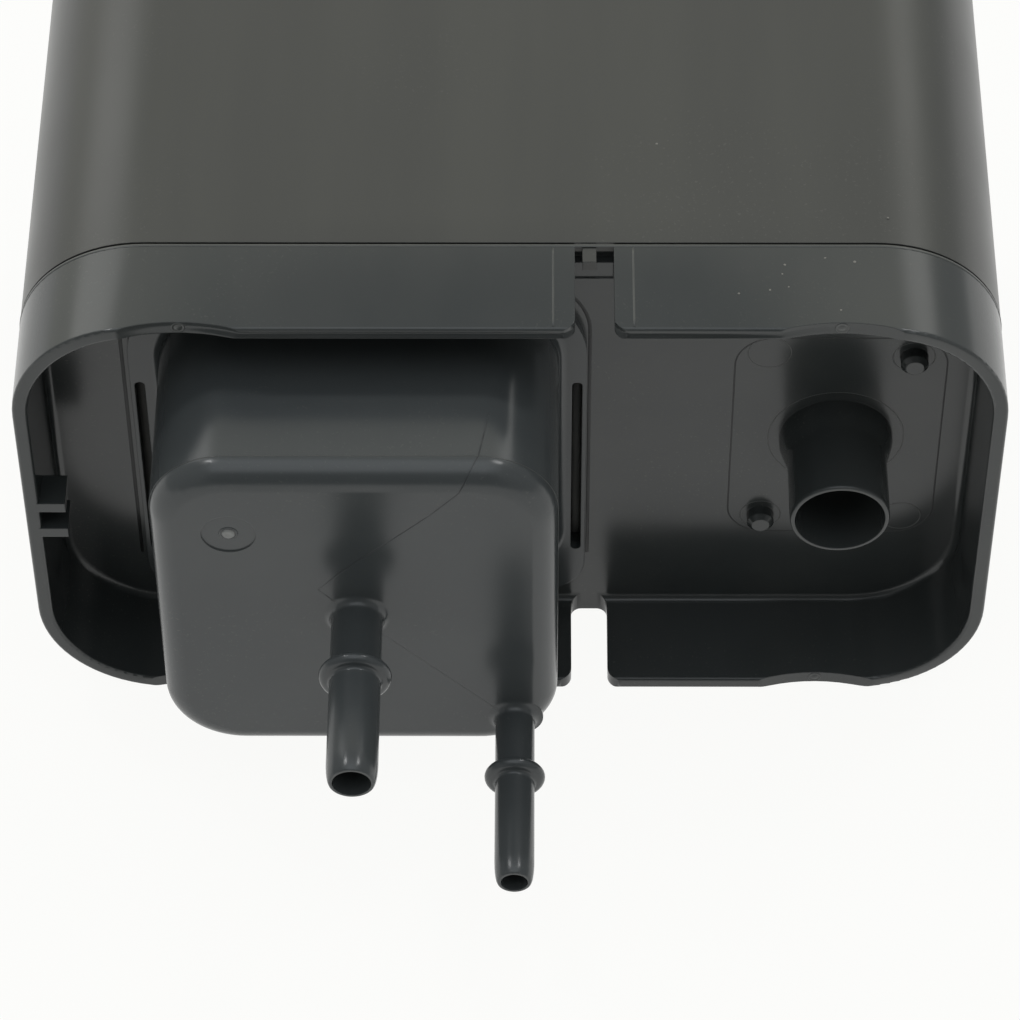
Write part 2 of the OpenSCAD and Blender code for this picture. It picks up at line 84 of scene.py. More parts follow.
# %% Helpers for node graphs
def add(tree, kind, fields=None, **inputs):
    """Makes one node; fields are its settings. Inputs are values or sockets, given by name with _ for
    a space, or by place as i0, i1 and so on."""
    made = tree.nodes.new(kind)
    for name, value in (fields or {}).items():
        setattr(made, name, value)
    for name, value in inputs.items():
        key = int(name[1:]) if name[0] == "i" and name[1:].isdigit() else name.replace("_", " ")
        if isinstance(value, bpy.types.NodeSocket):
            tree.links.new(value, made.inputs[key])
        else:
            made.inputs[key].default_value = value
    return made


def new_finish(name):
    """An empty node material and its shader tree."""
    finish = bpy.data.materials.new(name)
    finish.use_nodes = True
    finish.node_tree.nodes.clear()
    return finish, finish.node_tree


def calc(tree, operation, first, second=0.0):
    """One sum on two values or sockets, such as ADD, SUBTRACT, MULTIPLY or MINIMUM."""
    return add(tree, "ShaderNodeMath", {"operation": operation}, i0=first, i1=second).outputs[0]


def vector(tree, operation, first, second):
    """One sum on two vectors, such as SUBTRACT, DOT_PRODUCT or DISTANCE: its Vector and Value."""
    return add(tree, "ShaderNodeVectorMath", {"operation": operation}, i0=first, i1=second).outputs


def ramp(tree, value, low, high, to_low=0.0, to_high=1.0):
    """Maps low..high to to_low..to_high with a smooth start and end, held flat outside."""
    return add(tree, "ShaderNodeMapRange", {"interpolation_type": "SMOOTHSTEP"}, Value=value,
               From_Min=low, From_Max=high, To_Min=to_low, To_Max=to_high).outputs[0]


# %% [markdown]
# ## Floor
# The canister was shot on a white sheet that is brighter than the film can hold. The floor is a wide
# square. Its finish is a pale diffuse white, and for rays from the camera or from a mirror-like
# surface most of it becomes plain white, so that the background is white while the contact shadow
# stays.

# %% White sheet
FLOOR_HALF, FLOOR_DROP = 4.0, 0.02 * MM
WHITE_SHARE = 0.94
SHEET_MATT, SHEET_GLOW = (0.86, 0.86, 0.84, 1), (1, 1, 0.985, 1)


def flat_square(name, half, height):
    """Four corners (+-half, +-half, height) and one face that looks up."""
    corner = np.array([[-1, -1], [1, -1], [1, 1], [-1, 1]]) * half
    mesh = bpy.data.meshes.new(name)
    mesh.from_pydata(np.column_stack([corner, np.full(4, height)]).tolist(), [], [[0, 1, 2, 3]])
    made = bpy.data.objects.new(name, mesh)
    scene.collection.objects.link(made)
    return made


sheet = flat_square("white_sheet", FLOOR_HALF, -FLOOR_DROP)
sheet_finish, tree = new_finish("white_sheet")
ray = add(tree, "ShaderNodeLightPath").outputs
seen = calc(tree, "MAXIMUM", ray["Is Camera Ray"], ray["Is Glossy Ray"])
seen = calc(tree, "MAXIMUM", seen, ray["Is Transmission Ray"])
share = calc(tree, "MULTIPLY", seen, WHITE_SHARE)
matt = add(tree, "ShaderNodeBsdfDiffuse", Color=SHEET_MATT)
glow = add(tree, "ShaderNodeEmission", Color=SHEET_GLOW, Strength=1.0)
both = add(tree, "ShaderNodeMixShader", i0=share, i1=matt.outputs[0], i2=glow.outputs[0])
add(tree, "ShaderNodeOutputMaterial", Surface=both.outputs[0])
sheet.data.materials.append(sheet_finish)
print("floor: %.0f m square" % (2 * FLOOR_HALF))

# %% [markdown]
# ## Light
# Black plastic shows little of its own colour: what we see is mostly the room in its satin skin. The
# flat top mirrors what hangs behind, the dome's face mirrors the sheet, and the rounded edge of the
# dome runs through the whole room from back to front. Read along that edge, the room has a warm
# bright wall behind that ends sooner on the right, a dim gap, a cool soft ceiling, and a dark front
# below the camera. The world is built from those four parts. One wide lamp behind each side draws
# the long highlights on the corners, and one small lamp above each side draws the twin spots on the
# ports.

# %% Soft room
FRONT_UP = np.radians(28)
FRONT_AT = (0, -np.cos(FRONT_UP), np.sin(FRONT_UP))
CEILING_AT, WALL_AT = (0, -0.12, 0.993), (0, 1, 0)
FRONT_EDGE, CEILING_EDGE, WALL_EDGE = (0.78, 0.985), (0.80, 0.96), (0.57, 0.65)
WALL_SIDES = {-1: (0.68, 0.90), 1: (0.50, 0.70)}
ROOM = {"gap": 0.36, "ceiling": 0.77, "wall": 0.64, "front": 0.12}
GAP_TINT, CEILING_TINT, WALL_TINT = (0.97, 1, 1, 1), (0.94, 1, 1.06, 1), (1, 0.98, 0.82, 1)

world = bpy.data.worlds.new("soft_room")
world.use_nodes = True
scene.world = world
tree = world.node_tree
tree.nodes.clear()


def room_part(direction, edge, low, high):
    """Level from low to high as the view turns towards a direction, between the two cosines of edge."""
    way = add(tree, "ShaderNodeTexCoord").outputs["Generated"]
    near = vector(tree, "DOT_PRODUCT", way, direction)["Value"]
    return ramp(tree, near, *edge, low, high)


def glow_of(colour, strength):
    """A background shader of one colour and a strength."""
    return add(tree, "ShaderNodeBackground", Color=colour, Strength=strength).outputs[0]


front = room_part(FRONT_AT, FRONT_EDGE, 1.0, ROOM["front"] / ROOM["gap"])
plain = calc(tree, "MULTIPLY", front, ROOM["gap"])
ceiling = room_part(CEILING_AT, CEILING_EDGE, 0.0, ROOM["ceiling"])
wall = room_part(WALL_AT, WALL_EDGE, 0.0, ROOM["wall"])
for side, edge in WALL_SIDES.items():
    wall = calc(tree, "MULTIPLY", wall, room_part((side, 0, 0), edge, 1.0, 0.0))
room = glow_of(GAP_TINT, plain)
for tint, strength in ((CEILING_TINT, ceiling), (WALL_TINT, wall)):
    room = add(tree, "ShaderNodeAddShader", i0=room, i1=glow_of(tint, strength)).outputs[0]
add(tree, "ShaderNodeOutputWorld", Surface=room)
print("room:", ROOM)

# %% A wide and a small lamp on each side
LAMPS = {"left": ((-0.84, 0.97, 0.88), 0.65, 1.2),
         "right": ((0.80, 0.99, 0.95), 0.42, 1.15),
         "small_left": ((-0.72, 0.48, 1.48), 0.16, 32.0),
         "small_right": ((0.72, 0.48, 1.48), 0.16, 29.0)}
LAMP_AIM = np.array([0, 0, 0.14])


def square_lamp(name, place, size, level):
    """A square area lamp that faces the canister; its power gives the square the wanted brightness."""
    lamp = bpy.data.lights.new("lamp_" + name, "AREA")
    lamp.shape, lamp.size = "SQUARE", size
    lamp.energy = level * np.pi * size * size
    made = bpy.data.objects.new("lamp_" + name, lamp)
    scene.collection.objects.link(made)
    back = (place - LAMP_AIM) / np.linalg.norm(place - LAMP_AIM)
    side = np.cross([0, 0, 1], back)
    side = side / np.linalg.norm(side)
    turn = np.eye(4)
    turn[:3] = np.column_stack([side, np.cross(back, side), back, place])
    made.matrix_world = mathutils.Matrix(turn.tolist())
    return made.name


lamps = [square_lamp(name, np.array(place), size, level)
         for name, (place, size, level) in LAMPS.items()]
print("lamps:", lamps)

# %% [markdown]
# ## Smooth mouldings
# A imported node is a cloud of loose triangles. Its curved walls need smooth shading and its real edges
# must stay crisp. The mesh itself is left alone: a small geometry-nodes modifier welds the triangles,
# smooths them and marks edges over 32 degrees sharp, and Weighted Normal keeps the flat faces flat.

# %% Welding and shading modifier
SHARP_ANGLE, WELD_WITHIN = np.radians(32), 0.002 * MM


def shading_group():
    """Merge by distance, shade smooth, then set edges sharper than the limit flat."""
    group = bpy.data.node_groups.new("weld_and_shade", "GeometryNodeTree")
    group.interface.new_socket("Geometry", in_out="INPUT", socket_type="NodeSocketGeometry")
    group.interface.new_socket("Geometry", in_out="OUTPUT", socket_type="NodeSocketGeometry")
    start = add(group, "NodeGroupInput")
    weld = add(group, "GeometryNodeMergeByDistance", Geometry=start.outputs[0], Distance=WELD_WITHIN)
    soft = add(group, "GeometryNodeSetShadeSmooth", {"domain": "FACE"}, Geometry=weld.outputs[0],
               Shade_Smooth=True)
    angle = add(group, "GeometryNodeInputMeshEdgeAngle")
    sharp = add(group, "FunctionNodeCompare", {"operation": "GREATER_THAN"}, i0=angle.outputs[0],
                i1=float(SHARP_ANGLE))
    crisp = add(group, "GeometryNodeSetShadeSmooth", {"domain": "EDGE"}, Geometry=soft.outputs[0],
                Selection=sharp.outputs[0], Shade_Smooth=False)
    add(group, "NodeGroupOutput", Geometry=crisp.outputs[0])
    return group


weld_and_shade = shading_group()


def smooth(piece):
    """Adds the shading modifier and weighted normals to a piece."""
    piece.modifiers.new("weld_and_shade", "NODES").node_group = weld_and_shade
    weighted = piece.modifiers.new("weighted_normal", "WEIGHTED_NORMAL")
    weighted.keep_sharp = True


for piece in nodes.values():
    smooth(piece)
print("smoothed:", len(nodes))

# %% [markdown]
# ## Satin moulded plastic
# The shells are glass-filled nylon, moulded black against a fine-grained steel tool. Close up the skin
# has a grain of about half a millimetre, flow streaks along the way the plastic ran, small changes
# of gloss, and grey dust that keeps to open faces. It could be one dark colour with some gloss, but
# then every face would look painted. Here noise at four scales drives the colour, the gloss and a
# shallow bump, and a Bevel node rounds the moulded edges by a fraction of a millimetre.

# %% Small pieces of a finish
def noise(tree, at, scale, detail=2.0, stretch=(1, 1, 1), shift=(0, 0, 0)):
    """Noise of a given scale per metre on stretched and shifted object coordinates."""
    moved = add(tree, "ShaderNodeMapping", Vector=at, Location=shift, Scale=stretch)
    made = add(tree, "ShaderNodeTexNoise", Vector=moved.outputs[0], Scale=scale, Detail=detail)
    return made.outputs[0]


def mix(tree, share, first, second):
    """Colour between first and second by a share."""
    return add(tree, "ShaderNodeMix", {"data_type": "RGBA"}, i0=share, i6=first, i7=second).outputs[2]


# %% Plastic recipe
DUST = (0.17, 0.165, 0.15, 1)
PER_METRE = {"streaks": 40, "mottle": 18, "flecks": 1300, "grain": 1900}
NOISE_SPAN, FLECK_SPAN = (0.3, 0.7), (0.64, 0.76)
DUSTY_SPAN, DUSTY_SHARE = (0.42, 0.66), (0.02, 0.22)
GLOSS_SPREAD, GRAIN_STRENGTH, GRAIN_DEPTH = 0.03, 0.06, 0.04 * MM


def satin_plastic(name, deep, pale, gloss, flow, shift, marks=None, edge=0.35 * MM):
    """Colour from deep to pale by flow streaks, dust on top, gloss by mottling, grain as a bump.
    marks adds what only this moulding has: it returns colour, gloss and a sink height in metres.
    edge is the rounding of sharp edges; lines finer than that have none."""
    finish, tree = new_finish(name)
    at = add(tree, "ShaderNodeTexCoord").outputs["Object"]
    streaks = noise(tree, at, PER_METRE["streaks"], 4, flow, shift)
    mottle = noise(tree, at, PER_METRE["mottle"], 3, (1, 1, 1), shift)
    colour = mix(tree, ramp(tree, streaks, *NOISE_SPAN), deep, pale)
    flecks = ramp(tree, noise(tree, at, PER_METRE["flecks"], 1), *FLECK_SPAN)
    dusty = calc(tree, "MULTIPLY", flecks, ramp(tree, mottle, *DUSTY_SPAN, *DUSTY_SHARE))
    colour = mix(tree, dusty, colour, DUST)
    rough = ramp(tree, mottle, *NOISE_SPAN, gloss - GLOSS_SPREAD, gloss + GLOSS_SPREAD)
    skin = {}
    if edge:
        skin["Normal"] = add(tree, "ShaderNodeBevel", {"samples": 4}, Radius=edge).outputs[0]
    if marks:
        colour, rough, sink = marks(tree, at, colour, rough)
        sunk = add(tree, "ShaderNodeBump", Strength=1.0, Distance=1.0, Height=sink, **skin)
        skin["Normal"] = sunk.outputs[0]
    grain = noise(tree, at, PER_METRE["grain"], 2, (1, 1, 1), shift)
    grained = add(tree, "ShaderNodeBump", Strength=GRAIN_STRENGTH, Distance=GRAIN_DEPTH, Height=grain,
                  **skin)
    skin["Normal"] = grained.outputs[0]
    body = add(tree, "ShaderNodeBsdfPrincipled", Base_Color=colour, Roughness=rough, IOR=1.5, **skin)
    add(tree, "ShaderNodeOutputMaterial", Surface=body.outputs[0])
    return finish


def wear(node, finish):
    """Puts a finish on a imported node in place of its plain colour."""
    nodes[node].data.materials.clear()
    nodes[node].data.materials.append(finish)


# %% [markdown]
# ## Sink marks on the long walls
# A long flat wall never cools quite flat. The skirt's upper wall leans inwards near its notch, and the
# body dips a little before the weld. The eye reads this as a darker band, because the wall then
# mirrors a dimmer part of the room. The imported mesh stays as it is: a slope of up to six degrees in
# a bump, given as a true height in metres, bends the mirror image just as far.

# %% Skirt and body, with their sink
SEAM_Y, DIP_LENGTH, BODY_TOP = -10.6 * MM, 10 * MM, float(BODY_H)
SKIRT_SLOPE, SKIRT_BEND, BODY_BEND = 0.05, 1.0, 1.7
SKIRT_FADES = ((-0.104, -0.045), (0.035, 0.09))
BODY_FADES = ((-0.09, -0.03), (0.05, 0.09))
UPPER_FADE = (BODY_TOP - 4 * MM, BODY_TOP - 1 * MM)


def between(tree, x, fades):
    """A share that rises across the first fade, stays at one and falls across the second."""
    left, right = fades
    return calc(tree, "MULTIPLY", ramp(tree, x, *left), ramp(tree, x, *right, 1.0, 0.0))


def skirt_sink(tree, at, colour, rough):
    """Height falls as slope * depth + bend * depth^2 from the seam to the rim, most at the notch."""
    x, y, z = add(tree, "ShaderNodeSeparateXYZ", Vector=at).outputs
    depth = calc(tree, "MAXIMUM", calc(tree, "SUBTRACT", SEAM_Y, y), 0.0)
    slope = calc(tree, "ADD", calc(tree, "MULTIPLY", depth, SKIRT_BEND), SKIRT_SLOPE)
    fall = calc(tree, "MULTIPLY", calc(tree, "MULTIPLY", depth, slope), between(tree, x, SKIRT_FADES))
    upper = ramp(tree, z, *UPPER_FADE)
    return colour, rough, calc(tree, "MULTIPLY", fall, calc(tree, "MULTIPLY", upper, -1.0))


def body_sink(tree, at, colour, rough):
    """Height falls with the square of the nearness to the seam, over its last ten millimetres."""
    x, y = add(tree, "ShaderNodeSeparateXYZ", Vector=at).outputs[:2]
    near = calc(tree, "MAXIMUM", calc(tree, "SUBTRACT", SEAM_Y + DIP_LENGTH, y), 0.0)
    fall = calc(tree, "MULTIPLY", calc(tree, "MULTIPLY", near, near), -BODY_BEND)
    return colour, rough, calc(tree, "MULTIPLY", fall, between(tree, x, BODY_FADES))


body_plastic = satin_plastic("body_plastic", (0.050, 0.051, 0.048, 1), (0.059, 0.060, 0.055, 1), 0.32,
                             (1, 0.12, 1), (0, 0, 0), body_sink)
cover_plastic = satin_plastic("cover_plastic", (0.045, 0.050, 0.050, 1), (0.054, 0.058, 0.057, 1), 0.21,
                              (1, 0.3, 1), (0.3, 0, 0), skirt_sink)
# Paler copy of the cover plastic for the fine raised lines: painted highlight, the light their small
# edges catch.
highlight_line_plastic = satin_plastic("highlight_line_plastic", (0.060, 0.064, 0.062, 1), (0.075, 0.078, 0.074, 1), 0.31,
                             (1, 1, 1), (0.3, 0, 0), edge=0)
wear("body_shell", body_plastic)
wear("end_cover", body_plastic)
wear("port_cover", cover_plastic)
print("plastic on the body and both covers")

# %% [markdown]
# ## Knit lines on the dome
# Where two fronts of hot plastic meet round a core pin they leave a fine dark line. This dome has two:
# one bends from the upper edge to the middle port, and a fainter one joins the two ports. They could
# be thin strips of mesh, but a knit line is a groove of a few hundredths of a millimetre. So the
# finish measures the distance to each line, and darkens and lowers the skin close to it.

# %% Course of the two lines
FACE_Y, DOME_TOP, DOME_EDGE_R = -71.1, 125.0, 6.5
EDGE_Y, EDGE_Z = FACE_Y + DOME_EDGE_R, DOME_TOP - DOME_EDGE_R

turn = np.radians(np.linspace(90, 0, 6))
over_edge = np.column_stack([np.linspace(-7.4, -12.3, 6), EDGE_Y - DOME_EDGE_R * np.cos(turn),
                             EDGE_Z + DOME_EDGE_R * np.sin(turn)])
UPPER_LINE = [(-4.7, -50, DOME_TOP), *over_edge, (-19.1, FACE_Y, 110.6), (-40.1, FACE_Y, 89.9),
              (-47.3, FACE_Y, 81.7), (-40, FACE_Y, 73)]
LOWER_LINE = [(-31.3, FACE_Y, 63.5), (-3.3, FACE_Y, 33)]
KNIT_LINES = [(0.75, UPPER_LINE), (0.4, LOWER_LINE)]
stretches = [len(line) - 1 for strength, line in KNIT_LINES]
print("knit lines:", len(KNIT_LINES), "of", stretches, "stretches")

# %% Dome, with its knit lines
KNIT_CORE, KNIT_REACH, KNIT_DEPTH = 0.06 * MM, 0.36 * MM, 0.03 * MM
KNIT_DARK, KNIT_MATT = (0.012, 0.013, 0.014, 1), 0.35
BREAKS_PER_METRE, BREAK_SPAN, BREAK_SHARE = 220, (0.3, 0.6), (0.35, 1.0)


def near_line(tree, at, start, end):
    """Distance from a point to a stretch of line, at its nearest: start + unit * clamped length."""
    first = np.array(start) * MM
    reach = np.array(end) * MM - first
    length = float(np.linalg.norm(reach))
    unit = tuple(reach / length)
    away = vector(tree, "SUBTRACT", at, tuple(first))["Vector"]
    run = vector(tree, "DOT_PRODUCT", away, unit)["Value"]
    run = calc(tree, "MINIMUM", calc(tree, "MAXIMUM", run, 0.0), length)
    foot = add(tree, "ShaderNodeVectorMath", {"operation": "SCALE"}, i0=unit, Scale=run).outputs[0]
    return vector(tree, "DISTANCE", away, foot)["Value"]


def knit_lines(tree, at, colour, rough):
    """Darkens and lowers the skin by nearness to the closest knit line, broken up by noise."""
    groove = 0.0
    for strength, line in KNIT_LINES:
        for start, end in zip(line, line[1:]):
            away = near_line(tree, at, start, end)
            near = ramp(tree, away, KNIT_CORE, KNIT_REACH, strength, 0.0)
            groove = calc(tree, "MAXIMUM", groove, near)
    breaks = ramp(tree, noise(tree, at, BREAKS_PER_METRE, 2), *BREAK_SPAN, *BREAK_SHARE)
    groove = calc(tree, "MULTIPLY", groove, breaks)
    colour = mix(tree, groove, colour, KNIT_DARK)
    rough = calc(tree, "ADD", rough, calc(tree, "MULTIPLY", groove, KNIT_MATT))
    return colour, rough, calc(tree, "MULTIPLY", groove, -KNIT_DEPTH)


dome_plastic = satin_plastic("dome_plastic", (0.056, 0.062, 0.064, 1), (0.065, 0.071, 0.072, 1), 0.24,
                             (0.6, 1, 0.6), (0, 0.4, 0), knit_lines)
wear("vapour_dome", dome_plastic)
print("plastic on the dome")

# %% [markdown]
# ## The filling
# Inside, a bed of charcoal pellets is held between two felts by a slotted plate and two springs. None
# of this shows while the shells are on, but the part is used with its shells off too, so each
# piece has its real finish: pellets as cells, felt as stretched fibre, drawn wire as fine streaks.

# %% Charcoal, felt, plate and wire
PELLETS_PER_METRE, FIBRES_PER_METRE, DIE_MARKS_PER_METRE = 480.0, 900, 2600


def charcoal_pellets():
    """Voronoi cells of 2 mm, each with its own grey, sunk between them by the distance to an edge."""
    finish, tree = new_finish("charcoal_pellets")
    at = add(tree, "ShaderNodeTexCoord").outputs["Object"]
    cell = add(tree, "ShaderNodeTexVoronoi", Vector=at, Scale=PELLETS_PER_METRE)
    to_edge = {"feature": "DISTANCE_TO_EDGE"}
    gap = add(tree, "ShaderNodeTexVoronoi", to_edge, Vector=at, Scale=PELLETS_PER_METRE).outputs[0]
    shade = add(tree, "ShaderNodeSeparateColor", Color=cell.outputs["Color"]).outputs[0]
    colour = mix(tree, shade, (0.012, 0.012, 0.012, 1), (0.035, 0.035, 0.036, 1))
    sunk = ramp(tree, gap, 0.0, 0.3)
    normal = add(tree, "ShaderNodeBump", Strength=0.9, Distance=0.6 * MM, Height=sunk).outputs[0]
    rough = ramp(tree, shade, 0.0, 1.0, 0.6, 0.85)
    body = add(tree, "ShaderNodeBsdfPrincipled", Base_Color=colour, Roughness=rough, Normal=normal)
    add(tree, "ShaderNodeOutputMaterial", Surface=body.outputs[0])
    return finish


def needled_felt():
    """Two crossed noises, each stretched ten times its own way, give pale fibre in colour and bump."""
    finish, tree = new_finish("needled_felt")
    at = add(tree, "ShaderNodeTexCoord").outputs["Object"]
    fibre = noise(tree, at, FIBRES_PER_METRE, 3, (1, 1, 0.1))
    cross = noise(tree, at, FIBRES_PER_METRE, 3, (0.1, 1, 1), (0.2, 0, 0))
    both = calc(tree, "MAXIMUM", fibre, cross)
    colour = mix(tree, ramp(tree, both, 0.4, 0.75), (0.52, 0.50, 0.45, 1), (0.80, 0.79, 0.74, 1))
    normal = add(tree, "ShaderNodeBump", Strength=0.6, Distance=0.3 * MM, Height=both).outputs[0]
    body = add(tree, "ShaderNodeBsdfPrincipled", Base_Color=colour, Roughness=0.95, Normal=normal)
    add(tree, "ShaderNodeOutputMaterial", Surface=body.outputs[0])
    return finish


def drawn_wire():
    """Steel whose gloss and colour vary in fine noise, as die marks and oil leave it."""
    finish, tree = new_finish("drawn_wire")
    at = add(tree, "ShaderNodeTexCoord").outputs["Object"]
    die = noise(tree, at, DIE_MARKS_PER_METRE, 2, (1, 1, 0.2))
    colour = mix(tree, ramp(tree, die, *NOISE_SPAN), (0.42, 0.42, 0.43, 1), (0.62, 0.62, 0.64, 1))
    rough = ramp(tree, die, *NOISE_SPAN, 0.25, 0.42)
    body = add(tree, "ShaderNodeBsdfPrincipled", Base_Color=colour, Metallic=1.0, Roughness=rough)
    add(tree, "ShaderNodeOutputMaterial", Surface=body.outputs[0])
    return finish


plate_plastic = satin_plastic("plate_plastic", (0.09, 0.09, 0.086, 1), (0.13, 0.13, 0.125, 1), 0.45,
                              (1, 1, 1), (0.7, 0, 0))
fillings = {"charcoal_bed": charcoal_pellets(), "felt": needled_felt(),
            "pressure_plate": plate_plastic, "spring": drawn_wire()}
inner = [(node, finish) for node in nodes for word, finish in fillings.items() if word in node]
for node, finish in inner:
    wear(node, finish)
print("inner pieces with a finish:", len(inner))

# %% [markdown]
# ## Fine raised lines
# The tool that moulds the cover is built from blocks and pins, and each joint between them leaves a
# hair of plastic on the part. All of these lines are one idea: a small half-round profile carried
# along a path that lies on the surface. A curve with a bevel could do it too, but here the points
# are worked out as arrays, so that the line sits on the face to a hundredth of a millimetre.

# %% Profile carried along a path
ALONG_Y = np.array([0.0, 1.0, 0.0])
X_AXIS, Z_AXIS = np.array([1.0, 0, 0]), np.array([0, 0, 1.0])
LINE_RISE = 0.05 * MM


def mesh_piece(name, points, quads, caps, finish, slot):
    """A mesh from points and faces, turned outwards, with its finish; it rides on the root."""
    faces = np.asarray(quads)
    corner = points[faces]
    volume = np.einsum("ij,ij->", corner[:, 0], np.cross(corner[:, 1], corner[:, 2]))
    volume += np.einsum("ij,ij->", corner[:, 0], np.cross(corner[:, 2], corner[:, 3]))
    step = 1 if volume > 0 else -1
    mesh = bpy.data.meshes.new(name)
    mesh.from_pydata(points.tolist(), [], [list(f[::step]) for f in faces.tolist() + caps])
    mesh.polygons.foreach_set("use_smooth", np.ones(len(mesh.polygons), dtype=bool))
    mesh.materials.append(finish)
    made = bpy.data.objects.new(name, mesh)
    scene.collection.objects.link(made)
    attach(made, "root")
    print("%s: %d faces" % (name, len(mesh.polygons)))


def half_round(width, rise, root=0.06 * MM, steps=7):
    """Profile of a raised line: half an ellipse, width by rise, whose two feet stand below the face."""
    turn = np.linspace(0, np.pi, steps)
    top = np.column_stack([np.cos(turn) * width / 2, np.sin(turn) * rise])
    return np.vstack([[width / 2, -root], top, [-width / 2, -root]])


def carried(path, side, up, profile, closed):
    """Point (i, j) = path_i + side_i * profile_j.x + up_i * profile_j.y, with quads between neighbours.
    side and up are one direction for the whole path, or one for each of its points."""
    side, up = np.broadcast_to(side, path.shape), np.broadcast_to(up, path.shape)
    points = path[:, None] + side[:, None] * profile[None, :, :1] + up[:, None] * profile[None, :, 1:]
    rows, cols = points.shape[:2]
    i = np.arange(rows if closed else rows - 1)[:, None]
    j = np.arange(cols)[None, :]
    quads = np.stack([i * cols + j, i * cols + (j + 1) % cols, (i + 1) % rows * cols + (j + 1) % cols,
                      (i + 1) % rows * cols + j], axis=-1).reshape(-1, 4)
    last = (rows - 1) * cols
    caps = [] if closed else [list(range(cols))[::-1], list(range(last, last + cols))]
    return points.reshape(-1, 3), quads, caps


def joined(parts):
    """Several carried profiles as one set of points and faces."""
    starts = np.cumsum([0] + [len(p[0]) for p in parts])
    quads = np.vstack([p[1] + n for p, n in zip(parts, starts)])
    caps = [[k + int(n) for k in cap] for p, n in zip(parts, starts) for cap in p[2]]
    return np.vstack([p[0] for p in parts]), quads, caps


# %% [markdown]
# ## Weld lips
# Hot-plate welding squeezes a hair of plastic out at the seam, and most of it is trimmed. What stays
# is a lip that stands a tenth of a millimetre proud, just in front of the groove. Its path is the
# rounded rectangle of the body. On the underside it is pressed flat by the part's own weight, so
# its points are held at floor level.

# %% Lip at each weld
CORNER_R, LIP_W, LIP_RISE = 33 * MM, 0.9 * MM, 0.12 * MM
WELD_LIPS = {"front_weld_lip": (-11.35 * MM, "cover_plastic"),
             "far_weld_lip": (111.65 * MM, "body_plastic")}


def rounded_path(width, height, radius, centre, y, per_corner=24, per_side=10):
    """Rounded rectangle in a plane of constant y, four arcs joined by straight runs: its points, and
    the outward direction at each."""
    turn = np.linspace(0, np.pi / 2, per_corner)
    quarter = np.arange(4)[:, None] * np.pi / 2 + turn
    out = np.stack([np.cos(quarter), np.zeros_like(quarter), np.sin(quarter)], axis=-1)
    sign = np.array([[1, 1], [-1, 1], [-1, -1], [1, -1]])
    core = np.array([centre[0], y, centre[1]]) + np.insert(
        sign * [width / 2 - radius, height / 2 - radius], 1, 0, axis=1)[:, None]
    arcs = core + out * radius
    ends, starts = arcs[:, -1], np.roll(arcs[:, 0], -1, axis=0)
    share = np.linspace(0, 1, per_side + 2)[1:-1][None, :, None]
    runs = ends[:, None] * (1 - share) + starts[:, None] * share
    flat = np.repeat(out[:, -1:], per_side, axis=1)
    return (np.concatenate([arcs, runs], axis=1).reshape(-1, 3),
            np.concatenate([out, flat], axis=1).reshape(-1, 3))


for name, (y, slot) in WELD_LIPS.items():
    path, out = rounded_path(BODY_W, BODY_H, CORNER_R, (0, BODY_H / 2), y)
    points, quads, caps = carried(path, ALONG_Y, out, half_round(LIP_W, LIP_RISE), True)
    points[:, 2] = np.maximum(points[:, 2], 0)
    mesh_piece(name, points, quads, caps, highlight_line_plastic, slot)

# %% [markdown]
# ## Tool lines on the recessed floor
# A separate block of steel forms the floor round the vent tube, so a rounded rectangle shows there. A
# ring marks the core that forms the tube, and smaller rings mark the pins for the two pegs and for
# two more pegs that this version doesn't have. Dirt settles along the block's line, so it has the
# cover's plastic in a deeper shade. The same dark finish along the edge of the dome's flange is
# painted shadow: the shade at the foot of the flange's step.

# %% Block line and pin rings
VENT, FLOOR_Y = np.array([83.5, 71.0]) * MM, -12.1 * MM
BLOCK_W, BLOCK_H, BLOCK_R, BLOCK_LINE_W = 53.6 * MM, 76 * MM, 10 * MM, 0.42 * MM
PIN_RINGS = [((83.5, 71), 17.45), ((101.7, 102), 5.3), ((65.3, 40), 5.3), ((65.3, 103.5), 5.5),
             ((102.2, 39.4), 5.2)]
RING_LINE_W = 0.3 * MM
# Dark finish for two lines: dirt on the block's line, painted shadow along the flange's edge.
dirt_and_shadow_line = satin_plastic("dirt_and_shadow_line", (0.010, 0.011, 0.011, 1), (0.018, 0.019, 0.019, 1), 0.5,
                           (1, 1, 1), (0.1, 0, 0), edge=0)


def on_floor(path, out, width, closed=True):
    """A raised line on the recessed floor, whose up is towards the ports."""
    return carried(path, out, -ALONG_Y, half_round(width, LINE_RISE), closed)


def circle(centre, radius, steps=72):
    """Points of a circle on the floor and their outward side."""
    turn = np.linspace(0, 2 * np.pi, steps, endpoint=False)
    out = np.column_stack([np.cos(turn), np.zeros(steps), np.sin(turn)])
    return np.array([centre[0], FLOOR_Y, centre[1]]) + out * radius, out


block = on_floor(*rounded_path(BLOCK_W, BLOCK_H, BLOCK_R, VENT, FLOOR_Y), BLOCK_LINE_W)
mesh_piece("floor_block_line", *block, dirt_and_shadow_line, "cover_plastic")
circles = [circle(np.array(centre) * MM, radius * MM) for centre, radius in PIN_RINGS]
rings = [on_floor(*path_and_out, RING_LINE_W) for path_and_out in circles]
mesh_piece("floor_pin_rings", *joined(rings), highlight_line_plastic, "cover_plastic")

# %% Painted shadow along the flange: up its right edge, over the top and down the left
FLANGE_W, FLANGE_H, FLANGE_R, FLANGE_AT = 118 * MM, 121.6 * MM, 20 * MM, (-39 * MM, 71 * MM)
FLANGE_FOOT, FLANGE_LINE_W = 24 * MM, 0.9 * MM
PER_CORNER, PER_SIDE = 24, 12

